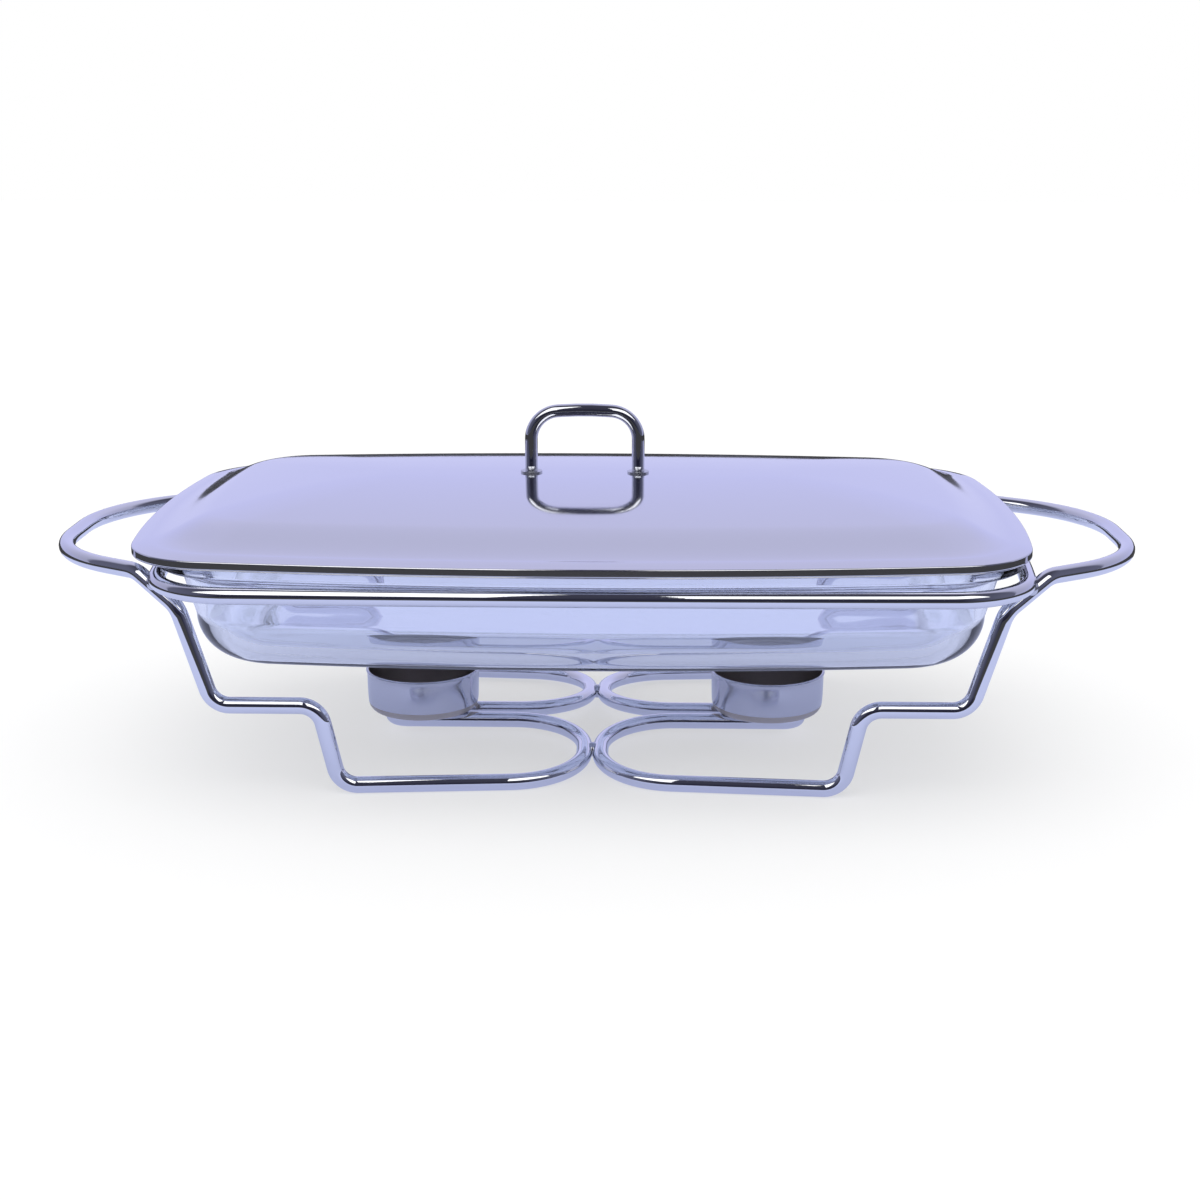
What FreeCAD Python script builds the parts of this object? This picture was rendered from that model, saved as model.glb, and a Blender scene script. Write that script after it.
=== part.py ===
# Chafing dish: a welded stand of round wire with two candle cups, an oblong glass dish that
# hangs in the stand's ring, and a loose pressed lid with a rod handle.
# Millimetres, +Z up, +X to the right and -Y to the front. The origin is on the table,
# under the centre of the ring.
import FreeCAD, Part
import math
import os

Vector = FreeCAD.Vector
UP = Vector(0, 0, 1)

# Wire of the stand
wire_diameter = 6.5
weld_set_down = 2.2        # how far two crossing wires sink into each other at a weld
touch_gap = 0.05           # between pieces that only touch until they are welded
lift_gap = 0.3             # between pieces that lift apart

# Ring that the dish hangs in, measured on the centreline of its wire
ring_half_length = 172.0
ring_half_width = 103.0
ring_corner_radius = 34.0
ring_side_bow_radius = 6500.0
ring_end_bow_radius = 560.0
ring_height = 86.0

# Handle bow of each end wire
handle_reach = 46.5        # from the ring's end to the centreline of the bow
handle_bend_radius = 60.0
handle_above_ring = 1.0    # the centreline of the bow, above that of the ring
arm_angle = 32.0           # of the arms in plan, from the X axis
arm_weld_angle = 10.5      # where the arm meets the ring's corner arc, from the X axis

# Legs, shelves and feet of each end wire
arm_drop_start = 11.0      # from the ring's centreline out to the first bend
arm_bend_radius = 13.0
leg_top_run = 10.2         # from the ring's centreline in to the second bend
leg_bend_radius = 8.5
knee_inset = 25.7          # from the ring's end in to the outer knee
knee_bend_radius = 9.0
shelf_height = 36.5
shelf_length = 41.0
shelf_inset = 22.7         # from the ring's long side in to the legs
foot_inset = 7.0           # from the inner knee in to the foot
foot_splay = 1.8           # from the shelf in to the foot, across the stand
floor_run_splay = 7.2      # from the foot in to the loop, across the stand
inner_run_y = 7.3
inner_run_height = 6.9
inner_run_past_cup = 13.2  # from the centre of the cup out to the end of the loop
loop_roundness = 0.97      # the floor loop's bends, as a share of those of a half circle
bend_room = 0.98           # the most that two bends in a row take of the run between them

# Candle cups, sized for ordinary tealights
cup_centre_x = 73.8
cup_radius = 24.0
cup_depth = 17.4
cup_wall = 0.6
cup_bottom_bend = 4.2
cup_draft = 0.5
cup_bead_radius = 0.6
cup_ridge_radius = 13.5
cup_ridge_width = 2.0
cup_ridge_slant = 0.35     # of its flanks, on the outside
cup_ridge_height = 0.7

# Glass dish
rim_reach = 0.3            # from the ring's centreline out to the rim's edge
rim_corner_radius = 37.0
rim_side_bow_radius = 1150.0
rim_end_bow_radius = 500.0
rim_thickness = 8.0
rim_edge_radius = 1.6
rim_root_radius = 6.8      # of the hollow between the wall and the underside of the rim
rim_root_drop = 0.15       # the hollow's upper end, below the underside of the rim
rim_lip_radius = 6.5       # of the inner edge of the rim
glass_wall = 4.2
glass_base = 5.0
dish_height = 48.0
dish_inset = 9.0           # from the rim's edge in to the outside of the wall
dish_taper = 4.2
dish_wall_corner = 40.0
dish_bottom_bend = 18.0
dish_inner_bend = 16.3
dish_tightest_corner = 6.0
dish_slid = -1.0           # the loose dish lies this far to the right in the ring

# Lid
lid_overhang = 2.7         # beyond the rim of the dish on the long sides
lid_end_overhang = 5.9     # beyond the rim of the dish at the ends
lid_corner_radius = 37.0
crown_corner_radius = 24.0
crown_end_roundness = 0.65  # the same as a share of the half width, at the middle of the crown
lid_sheet = 0.8
lid_hem = 1.5
hem_height = 1.5
hem_flat = 1.0
lip_depth = 4.4
lip_edge_radius = 0.6
flange_droop = 0.7
flange_width = 6.0
flange_rise = 0.5
shoulder_rise = 7.9
shoulder_width = 24.0
crown_radius = 460.0
crown_land_half_width = 9.5
lid_slid = -3.2            # the loose lid lies this far to the right on the dish

# Handle of the lid and its fixings
rod_diameter = 5.3
rod_spacing = 44.4
rod_rise = 24.4            # from the washers to the ends of the grip's centreline
rod_bend_radius = 11.85
grip_bow = 1.4             # how far the middle of the grip stands above its ends
grip_bow_radius = 150.0
washer_diameter = 9.0
washer_thickness = 0.7
screw_diameter = 3.0
screw_clearance = 0.1
screw_depth = 9.0
screw_hole_spare = 1.0     # the hole in the rod is deeper than the screw by this
screw_head_diameter = 5.6
screw_head_height = 1.8
screw_slot_width = 0.8
screw_slot_depth = 0.7
screw_head_round = 0.8

# Weld beads
ring_bead_radius = 4.0
loop_bead_radius = 3.0
cup_bead_radius_at_wire = 2.0

# Worked out from the sizes above
wire_radius = wire_diameter / 2
weld_distance = wire_diameter - weld_set_down
handle_height = ring_height + handle_above_ring
knee_x = ring_half_length - knee_inset
foot_x = knee_x - shelf_length - foot_inset
shelf_y = ring_half_width - shelf_inset
foot_y = shelf_y - foot_splay
floor_run_y = foot_y - floor_run_splay
inner_run_end_x = cup_centre_x + inner_run_past_cup
cup_bottom = inner_run_height + wire_radius + touch_gap
rim_half_length = ring_half_length + rim_reach
rim_half_width = ring_half_width + rim_reach
rim_underside = ring_height + wire_radius + lift_gap
rim_top = rim_underside + rim_thickness
dish_bottom = rim_top - dish_height
lid_half_length = rim_half_length + lid_end_overhang
lid_half_width = rim_half_width + lid_overhang
crown_foot = flange_width + shoulder_width
flange_top = rim_top + lift_gap + lid_sheet
lip_bottom = flange_top - lip_depth
rod_radius = rod_diameter / 2
screw_radius = screw_diameter / 2
bore_radius = screw_radius + screw_clearance


class Outline:
    """A closed oblong of eight tangent arcs: two bowed sides, two bowed ends, four corners."""

    def __init__(self, half_length, half_width, corner, side_bow, end_bow):
        self.half_length = half_length
        self.half_width = half_width
        self.corner = corner
        self.side_bow = side_bow
        self.end_bow = end_bow
        side = Vector(0, half_width - side_bow, 0)
        end = Vector(half_length - end_bow, 0, 0)
        self.corner_centre = meeting_point(side, side_bow - corner, end, end_bow - corner)
        self.side_angle = angle_of(self.corner_centre - side)
        self.end_angle = angle_of(self.corner_centre - end)

    def inset(self, distance, corner=None):
        """The outline this far inside, with its corners rounded to the radius asked for."""
        if corner is None:
            corner = self.corner - distance
        return Outline(self.half_length - distance, self.half_width - distance, corner,
                       self.side_bow - distance, self.end_bow - distance)

    def corner_point(self, degrees):
        """A point of the first quadrant's corner arc, by its angle from the X axis."""
        return self.corner_centre + polar(self.corner, math.radians(degrees))

    def wire(self, height):
        """The closed wire at a height, as end, corner, side, corner and so on."""
        end_arc = self.arc(self.half_length - self.end_bow, 0, self.end_bow,
                           -self.end_angle, self.end_angle)
        corner_arc = self.arc(self.corner_centre.x, self.corner_centre.y, self.corner,
                              self.end_angle, self.side_angle)
        side_arc = self.arc(0, self.half_width - self.side_bow, self.side_bow,
                            self.side_angle, math.pi - self.side_angle)
        right = [end_arc, corner_arc, side_arc, [Vector(-p.x, p.y, 0) for p in reversed(corner_arc)]]
        points = right + [[Vector(-p.x, -p.y, 0) for p in arc] for arc in right]
        lift = Vector(0, 0, height)
        return Part.Wire([Part.Arc(*[p + lift for p in arc]).toShape() for arc in points])

    @staticmethod
    def arc(x, y, radius, first, last):
        centre = Vector(x, y, 0)
        return [centre + polar(radius, a) for a in (first, (first + last) / 2, last)]


def polar(radius, angle):
    return Vector(radius * math.cos(angle), radius * math.sin(angle), 0)


def angle_of(vector):
    return math.atan2(vector.y, vector.x)


def meeting_point(first, first_radius, second, second_radius):
    """Where two circles about these centres cross, on the side away from the origin."""
    between = second - first
    gap = between.Length
    along = (first_radius ** 2 - second_radius ** 2 + gap ** 2) / (2 * gap)
    across = math.sqrt(first_radius ** 2 - along ** 2)
    foot = first + between * (along / gap)
    square = Vector(-between.y, between.x, 0) * (across / gap)
    return max((foot + square, foot - square), key=lambda p: p.x + p.y)


def mirrored(shape, normal):
    return shape.mirror(Vector(0, 0, 0), normal)


def disc(radius, centre, normal):
    return Part.Face(Part.Wire(Part.makeCircle(radius, centre, normal)))


def bent_rod(corners, bends, diameter, closed=False):
    """A round rod along straight runs, with an arc of the given radius at each bent corner."""
    count = len(corners)
    starts = []
    stops = []
    pieces = []
    for i, corner in enumerate(corners):
        if not closed and i in (0, count - 1):
            starts.append(corner)
            stops.append(corner)
            continue
        back = (corners[i - 1] - corner).normalize()
        ahead = (corners[(i + 1) % count] - corner).normalize()
        half_opening = back.getAngle(ahead) / 2
        reach = bends[i] / math.tan(half_opening)
        centre = corner + (back + ahead).normalize() * (bends[i] / math.sin(half_opening))
        axis = ahead.cross(back).normalize()
        turn = 180 - math.degrees(2 * half_opening)
        starts.append(corner + back * reach)
        stops.append(corner + ahead * reach)
        section = disc(diameter / 2, starts[i], back)
        pieces.append(section.revolve(centre, axis, turn))
    runs = count if closed else count - 1
    for i in range(runs):
        run = starts[(i + 1) % count] - stops[i]
        if run.Length > 1e-3:
            pieces.append(Part.makeCylinder(diameter / 2, run.Length, stops[i], run))
    return pieces[0].multiFuse(pieces[1:]).removeSplitter()


def loft(sections):
    """A closed solid through outlines, each given with its height, from the bottom up."""
    return Part.makeLoft([outline.wire(height) for outline, height in sections], True, True)


def offset_profile(points, distance):
    """Points of an (inset, height) profile moved square to it, to its inner side."""
    moved = []
    for i, (inset, height) in enumerate(points):
        before = points[max(i - 1, 0)]
        after = points[min(i + 1, len(points) - 1)]
        run = after[0] - before[0]
        rise = after[1] - before[1]
        length = math.hypot(run, rise)
        moved.append((inset + distance * rise / length, height - distance * run / length))
    return moved


def ring_outline():
    return Outline(ring_half_length, ring_half_width, ring_corner_radius,
                   ring_side_bow_radius, ring_end_bow_radius)


def top_ring():
    """The closed ring, swept section by section along its eight arcs."""
    outline = ring_outline()
    path = outline.wire(ring_height)
    pieces = []
    for edge in path.Edges:
        curve = edge.Curve
        start = edge.valueAt(edge.FirstParameter)
        tangent = edge.tangentAt(edge.FirstParameter)
        turn = math.degrees(edge.LastParameter - edge.FirstParameter)
        section = disc(wire_radius, start, tangent)
        pieces.append(section.revolve(curve.Center, curve.Axis, turn))
    return pieces[0].multiFuse(pieces[1:]).removeSplitter()


def weld_point():
    """Where the right front arm passes under the centreline of the ring."""
    point = ring_outline().corner_point(arm_weld_angle)
    return Vector(point.x, -point.y, ring_height)


def end_wire_corners():
    """Corners of the right end wire's front half, from its handle bow to its inner run."""
    crossing = weld_point()
    inward = Vector(-math.cos(math.radians(arm_angle)), -math.sin(math.radians(arm_angle)), 0)
    arm_start = Vector(crossing.x, crossing.y, handle_height) - inward * arm_drop_start
    bow_x = ring_half_length + handle_reach
    run = (bow_x - arm_start.x) / -inward.x
    bow_corner = arm_start - inward * run
    leg_top = Vector(crossing.x, crossing.y, handle_height) + inward * leg_top_run
    leg_top.z = handle_height - (arm_drop_start + leg_top_run) * math.tan(dip_angle())
    loop_x = wire_radius + touch_gap
    return [
        (bow_corner, bow_bend_radius(bow_corner)),
        (arm_start, arm_bend_radius),
        (leg_top, leg_bend_radius),
        (Vector(knee_x, -shelf_y, shelf_height), knee_bend_radius),
        (Vector(knee_x - shelf_length, -shelf_y, shelf_height), knee_bend_radius),
        (Vector(foot_x, -foot_y, wire_radius), knee_bend_radius),
        (Vector(loop_x, -floor_run_y, wire_radius), loop_bend_radius()),
        (Vector(loop_x, -inner_run_y, inner_run_height), loop_bend_radius()),
        (Vector(inner_run_end_x, -inner_run_y, inner_run_height), inner_run_y * bend_room),
    ]


def bow_bend_radius(bow_corner):
    """The bends at the ends of the bow, limited where the two would meet in its middle."""
    turn = math.radians(90 - arm_angle)
    return min(handle_bend_radius, bend_room * abs(bow_corner.y) / math.tan(turn / 2))


def dip_angle():
    """Slope at which the wire passes under the ring, so that the two are welded together."""
    span = math.hypot(arm_drop_start, handle_above_ring)
    return math.asin(weld_distance / span) + math.atan2(handle_above_ring, arm_drop_start)


def loop_bend_radius():
    """The loop between a floor run and an inner run is close to a half circle."""
    return (floor_run_y - inner_run_y) / 2 * loop_roundness


def right_end_wire(ring):
    front = end_wire_corners()
    back = [(Vector(p.x, -p.y, p.z), bend) for p, bend in reversed(front)]
    corners = [p for p, bend in front + back]
    bends = [bend for p, bend in front + back]
    return bent_rod(corners, bends, wire_diameter, closed=True).cut(ring)


def candle_cup():
    """Pressed cup with a rolled rim and a raised ridge in its floor, about the Z axis."""
    foot = cup_radius - cup_draft
    inner_bend = cup_bottom_bend - cup_wall
    ridge_in = cup_ridge_radius - cup_ridge_width / 2
    ridge_out = cup_ridge_radius + cup_ridge_width / 2
    outside = [(0, 0), (ridge_in + cup_ridge_slant, 0), (cup_ridge_radius, cup_ridge_height),
               (ridge_out - cup_ridge_slant, 0), (foot - cup_bottom_bend, 0)]
    inside = [(foot - cup_bottom_bend, cup_wall), (ridge_out, cup_wall),
              (cup_ridge_radius, cup_wall + cup_ridge_height), (ridge_in, cup_wall), (0, cup_wall)]
    edges = polyline(outside)
    edges.append(bend_arc(foot - cup_bottom_bend, cup_bottom_bend, cup_bottom_bend))
    edges += polyline([(foot, cup_bottom_bend), (cup_radius, cup_depth),
                       (cup_radius - cup_wall, cup_depth), (foot - cup_wall, cup_bottom_bend)])
    edges.append(bend_arc(foot - cup_bottom_bend, cup_bottom_bend, inner_bend))
    edges += polyline(inside + [(0, 0)])
    profile = Part.Face(Part.Wire(Part.__sortEdges__(edges)))
    shell = profile.revolve(Vector(0, 0, 0), UP, 360)
    bead = Part.makeTorus(cup_radius - cup_wall / 2, cup_bead_radius, Vector(0, 0, cup_depth))
    return shell.fuse(bead).removeSplitter()


def polyline(points):
    corners = [Vector(x, 0, z) for x, z in points]
    return [Part.makeLine(a, b) for a, b in zip(corners, corners[1:])]


def bend_arc(x, z, radius):
    """A quarter arc about (x, z), from straight below it to straight outside it."""
    middle = Vector(x + radius * math.sin(math.pi / 4), 0, z - radius * math.cos(math.pi / 4))
    return Part.Arc(Vector(x, 0, z - radius), middle, Vector(x + radius, 0, z)).toShape()


def placed(shape, x, y, z):
    return shape.translated(Vector(x, y, z))


def bead_at(point, radius, *neighbours):
    """A weld bead: what a ball leaves outside the pieces that it joins."""
    bead = Part.makeSphere(radius, point)
    for piece in neighbours:
        bead = bead.cut(piece)
    return bead


def ring_weld(ring, end_wire):
    """The bead in the corner between the right end wire and the ring, at the front."""
    centre = weld_point()
    centre.z = ring_height - weld_distance / 2
    return bead_at(centre, ring_bead_radius, ring, end_wire)


def loop_weld(left_wire, right_wire):
    """The bead between the two floor loops, at the front."""
    middle_y = (floor_run_y + inner_run_y) / 2
    middle_z = (wire_radius + inner_run_height) / 2
    return bead_at(Vector(0, -middle_y, middle_z), loop_bead_radius, left_wire, right_wire)


def cup_weld(end_wire):
    """The beads between the right cup and the two inner runs under it."""
    inside_cup = Part.makeCylinder(cup_radius, cup_depth, Vector(cup_centre_x, 0, cup_bottom))
    beads = []
    for y in (-inner_run_y, inner_run_y):
        for x in (cup_centre_x - cup_ridge_radius / 2, cup_centre_x + cup_ridge_radius / 2):
            point = Vector(x, y, cup_bottom)
            beads.append(bead_at(point, cup_bead_radius_at_wire, inside_cup, end_wire))
    return Part.makeCompound(beads)


def rim_outline():
    return Outline(rim_half_length, rim_half_width, rim_corner_radius,
                   rim_side_bow_radius, rim_end_bow_radius)


def arc_steps(inset, height, radius, first, last, steps):
    """Points of an (inset, height) profile along an arc, between two angles in degrees."""
    points = []
    for i in range(steps + 1):
        angle = math.radians(first + (last - first) * i / steps)
        points.append((inset + radius * math.cos(angle), height + radius * math.sin(angle)))
    return points


def dish_outside():
    """Outside of the glass, from the bottom up: bend, wall, hollow under the rim, rim."""
    bend = dish_bottom_bend
    root = rim_root_radius
    edge = rim_edge_radius
    root_height = rim_underside - rim_root_drop - root
    points = arc_steps(dish_inset + dish_taper + bend, dish_bottom + bend, bend, -90, -180, 6)
    points += arc_steps(dish_inset - root, root_height, root, 0, 90, 4)
    points += arc_steps(edge, rim_underside + edge, edge, -90, -180, 2)
    points += arc_steps(edge, rim_top - edge, edge, 180, 90, 2)
    return points


def dish_inside():
    """Inside of the glass, from the floor to the lip of the rim."""
    bend = dish_inner_bend
    floor = dish_bottom + glass_base
    wall = dish_inset + glass_wall
    lip = rim_lip_radius
    points = arc_steps(wall + dish_taper + bend, floor + bend, bend, -90, -180, 6)
    points += arc_steps(wall - lip, rim_top - lip, lip, 0, 90, 4)
    return points


def dish_corner(inset):
    """Corner radius of the glass, by the distance in from the rim's edge."""
    if inset < dish_inset:
        return rim_corner_radius + (dish_wall_corner - rim_corner_radius) * inset / dish_inset
    return max(dish_wall_corner - (inset - dish_inset), dish_tightest_corner)


def lofted(outline, profile, corner):
    """A solid of sections set in from an outline, with a rule for the corners of each."""
    return loft([(outline.inset(inset, corner(inset)), height) for inset, height in profile])


def glass_dish():
    outline = rim_outline()
    body = lofted(outline, dish_outside(), dish_corner)
    return body.cut(lofted(outline, dish_inside(), dish_corner))


def lid_outline():
    return Outline(lid_half_length, lid_half_width, lid_corner_radius,
                   rim_side_bow_radius, rim_end_bow_radius)


def crown_rise(inset):
    """Rise of the crown above its foot, by the distance in from the lip."""
    foot = lid_half_width - crown_foot
    return (foot ** 2 - (lid_half_width - inset) ** 2) / (2 * crown_radius)


def shoulder_height(share):
    """Rise of the shoulder over the flange, level at its start and as steep as the crown at its end."""
    crown_slope = (lid_half_width - crown_foot) / crown_radius
    ease = share ** 2 * (3 - 2 * share)
    lead = share ** 3 - share ** 2
    return shoulder_rise * ease + crown_slope * shoulder_width * lead


def lid_profile():
    """Outside of the pressed sheet, as (inset from the lip, height), from the lip to the land."""
    points = [(0, lip_bottom)]
    edge_top = flange_top - flange_droop
    points += arc_steps(lip_edge_radius, edge_top - lip_edge_radius, lip_edge_radius, 180, 100, 3)
    shoulder_foot = flange_top + flange_rise
    steps = 7
    for i in range(steps):
        share = i / steps
        points.append((flange_width + shoulder_width * share, shoulder_foot + shoulder_height(share)))
    crown_start = shoulder_foot + shoulder_rise
    crown_width = lid_half_width - crown_land_half_width - crown_foot
    for i in range(steps + 1):
        inset = crown_foot + crown_width * i / steps
        points.append((inset, crown_start + crown_rise(inset)))
    return points


def lid_corner(inset):
    """Corners of the pressing get tighter over the shoulder and rounder towards the middle."""
    if inset < crown_foot:
        return lid_corner_radius + (crown_corner_radius - lid_corner_radius) * inset / crown_foot
    half_width = lid_half_width - inset
    start = crown_corner_radius / (lid_half_width - crown_foot)
    share = (inset - crown_foot) / (lid_half_width - crown_foot)
    return half_width * (start + (crown_end_roundness - start) * share)


def lid_top():
    return lid_profile()[-1][1]


def lid_shell():
    outside = lid_profile()
    inside = offset_profile(outside, lid_sheet)
    hem = [(lid_hem, lip_bottom), (lid_hem, lip_bottom + hem_flat), (lid_sheet, lip_bottom + hem_height)]
    inside = hem + inside[1:-1] + [(inside[-1][0], lid_top() - lid_sheet)]
    outline = lid_outline()
    shell = lofted(outline, outside, lid_corner).cut(lofted(outline, inside, lid_corner))
    for x in (-rod_spacing / 2, rod_spacing / 2):
        bore = Part.makeCylinder(bore_radius, 4 * lid_sheet, Vector(x, 0, lid_top() - 2 * lid_sheet))
        shell = shell.cut(bore)
    return shell


def lid_handle():
    """The rod, bent down at both ends, with a grip that bows up slightly in the middle."""
    foot = lid_top() + washer_thickness
    top = foot + rod_rise
    half = rod_spacing / 2
    corners = [Vector(-half, 0, foot), Vector(-half, 0, top), Vector(0, 0, top + grip_bow),
               Vector(half, 0, top), Vector(half, 0, foot)]
    bends = [0, rod_bend_radius, grip_bow_radius, rod_bend_radius, 0]
    rod = bent_rod(corners, bends, rod_diameter)
    for x in (-half, half):
        hole_depth = screw_depth + screw_hole_spare
        rod = rod.cut(Part.makeCylinder(bore_radius, hole_depth, Vector(x, 0, foot)))
    return rod


def washer(x, bottom):
    ring = Part.makeCylinder(washer_diameter / 2, washer_thickness, Vector(x, 0, bottom))
    hole = Part.makeCylinder(bore_radius, washer_thickness, Vector(x, 0, bottom))
    return ring.cut(hole)


def handle_screw(x):
    """A slotted screw from inside the lid, through both washers and into the rod."""
    seat = lid_top() - lid_sheet - washer_thickness
    length = 2 * washer_thickness + lid_sheet + screw_depth
    shank = Part.makeCylinder(screw_radius, length, Vector(x, 0, seat))
    head_radius = screw_head_diameter / 2
    head = Part.makeCylinder(head_radius, screw_head_height, Vector(x, 0, seat - screw_head_height))
    rim = [e for e in head.Edges if e.BoundBox.ZMax < seat - screw_head_height / 2
           and e.Curve.TypeId == "Part::GeomCircle"]
    head = head.makeFillet(screw_head_round, rim)
    corner = Vector(x - head_radius, -screw_slot_width / 2, seat - screw_head_height)
    slot = Part.makeBox(screw_head_diameter, screw_slot_width, screw_slot_depth, corner)
    return head.fuse(shank).removeSplitter().cut(slot)


def lid_pieces():
    """The lid and its handle, with the lid's centre over the origin."""
    pieces = {"lid_shell": lid_shell(), "lid_handle": lid_handle()}
    for side, x in (("left", -rod_spacing / 2), ("right", rod_spacing / 2)):
        pieces["outer_washer_" + side] = washer(x, lid_top())
        pieces["inner_washer_" + side] = washer(x, lid_top() - lid_sheet - washer_thickness)
        pieces["handle_screw_" + side] = handle_screw(x)
    return pieces


def build():
    left = Vector(1, 0, 0)
    back = Vector(0, 1, 0)
    ring = top_ring()
    right_wire = right_end_wire(ring)
    left_wire = mirrored(right_wire, left)
    right_cup = placed(candle_cup(), cup_centre_x, 0, cup_bottom)
    corner_bead = ring_weld(ring, right_wire)
    loop_bead = loop_weld(left_wire, right_wire)
    cup_beads = cup_weld(right_wire)
    parts = {
        "top_ring": ring,
        "right_end_wire": right_wire,
        "left_end_wire": left_wire,
        "ring_weld_front_right": corner_bead,
        "ring_weld_front_left": mirrored(corner_bead, left),
        "ring_weld_back_right": mirrored(corner_bead, back),
        "ring_weld_back_left": mirrored(mirrored(corner_bead, back), left),
        "loop_weld_front": loop_bead,
        "loop_weld_back": mirrored(loop_bead, back),
        "right_candle_cup": right_cup,
        "left_candle_cup": mirrored(right_cup, left),
        "right_cup_weld": cup_beads,
        "left_cup_weld": mirrored(cup_beads, left),
        "glass_dish": placed(glass_dish(), dish_slid, 0, 0),
    }
    for name, shape in lid_pieces().items():
        parts[name] = placed(shape, dish_slid + lid_slid, 0, 0)
    return parts


os.makedirs("parts", exist_ok=True)
for name, shape in build().items():
    shape.exportStep("parts/" + name + ".step")
    box = shape.BoundBox
    print(name, "solids", len(shape.Solids), "valid", shape.isValid(), "volume", round(shape.Volume, 1),
          "z", round(box.ZMin, 2), round(box.ZMax, 2))
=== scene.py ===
import bpy
import math
import numpy as np
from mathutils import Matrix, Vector

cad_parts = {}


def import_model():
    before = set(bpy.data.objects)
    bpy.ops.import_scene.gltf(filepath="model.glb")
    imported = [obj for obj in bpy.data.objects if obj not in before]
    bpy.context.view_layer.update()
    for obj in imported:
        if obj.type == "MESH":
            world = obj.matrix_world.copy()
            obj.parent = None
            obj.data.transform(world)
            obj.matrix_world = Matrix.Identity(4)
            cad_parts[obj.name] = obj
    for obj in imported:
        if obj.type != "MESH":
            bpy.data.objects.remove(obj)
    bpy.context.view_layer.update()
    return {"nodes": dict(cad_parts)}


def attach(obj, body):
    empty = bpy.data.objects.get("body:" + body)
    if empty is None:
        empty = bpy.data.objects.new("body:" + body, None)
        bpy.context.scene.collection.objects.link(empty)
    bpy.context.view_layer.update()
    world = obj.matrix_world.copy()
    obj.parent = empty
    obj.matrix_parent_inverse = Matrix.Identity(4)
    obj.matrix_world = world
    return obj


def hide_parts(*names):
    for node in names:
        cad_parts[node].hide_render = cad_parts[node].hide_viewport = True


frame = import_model()

MM = 0.001

# Driving sizes in millimetres, as in the construction
WIRE_D = 6.5
RING = dict(half_length=172.0, half_width=103.0, corner=34.0, side_bow=6500.0, end_bow=560.0)
RING_Z = 86.0
HANDLE_REACH = 46.5
HANDLE_BEND = 60.0
HANDLE_ABOVE_RING = 1.0
ARM_ANGLE = 32.0
ARM_WELD_ANGLE = 10.5
ARM_DROP_START = 11.0
ARM_BEND = 13.0
LEG_TOP_RUN = 10.2
LEG_BEND = 8.5
WELD_DISTANCE = 4.3
KNEE_INSET = 25.7
KNEE_BEND = 9.0
SHELF_Z = 36.5
SHELF_LENGTH = 41.0
SHELF_INSET = 22.7
FOOT_INSET = 7.0
FOOT_SPLAY = 1.8
FLOOR_RUN_SPLAY = 7.2
INNER_RUN_Y = 7.3
INNER_RUN_Z = 6.9
INNER_RUN_PAST_CUP = 13.2
LOOP_ROUNDNESS = 0.97
BEND_ROOM = 0.98
CUP_X = 73.8
CUP_RADIUS = 24.0
CUP_DEPTH = 17.4
CUP_WALL = 0.6
CUP_BEND = 4.2
CUP_DRAFT = 0.5
CUP_RIDGE_RADIUS = 13.5
CUP_RIDGE_HEIGHT = 0.7
CUP_RIDGE_SLOPE = 1.4
CUP_BEAD = 0.6
CUP_BEAD_NECK = 1.4
RIM_REACH = 0.3
RIM_CORNER = 37.0
RIM_SIDE_BOW = 1150.0
RIM_END_BOW = 500.0
RIM_THICKNESS = 8.0
RIM_EDGE = 1.6
RIM_ROOT = 6.8
RIM_ROOT_DROP = 0.15
RIM_LIP = 6.5
GLASS_WALL = 4.2
GLASS_BASE = 5.0
DISH_HEIGHT = 48.0
DISH_INSET = 9.0
DISH_TAPER = 4.2
DISH_WALL_CORNER = 40.0
DISH_BEND = 18.0
DISH_INNER_BEND = 16.3
DISH_TIGHTEST_CORNER = 6.0
DISH_FLOOR_EASE = 3.0
DISH_LAND_INSET = 92.0
DISH_SLID = -1.0
LIFT_GAP = 0.3
TOUCH_GAP = 0.05
LID_OVERHANG = 2.7
LID_END_OVERHANG = 5.9
LID_CORNER = 37.0
CROWN_CORNER = 24.0
CROWN_END_ROUNDNESS = 0.65
LID_SHEET = 0.8
LID_HEM = 1.5
HEM_HEIGHT = 2.2
LIP_DEPTH = 4.4
LIP_EDGE = 0.6
LIP_TUCK = 0.12
LIP_FOOT = (0.5, 0.8, 1.0)
FLANGE_DROOP = 0.7
FLANGE_EASE = ((1.0, 0.1), (3.2, 0.57))
FLANGE_WIDTH = 6.0
FLANGE_RISE = 0.5
SHOULDER_RISE = 7.9
SHOULDER_WIDTH = 24.0
CROWN_RADIUS = 460.0
CROWN_LAND = 9.5
LID_SLID = -3.2
ROD_D = 5.3
ROD_SPACING = 44.4
ROD_RISE = 24.4
ROD_BEND = 11.85
GRIP_BOW = 1.4
GRIP_BOW_RADIUS = 150.0
WASHER_THICKNESS = 0.7

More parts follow.
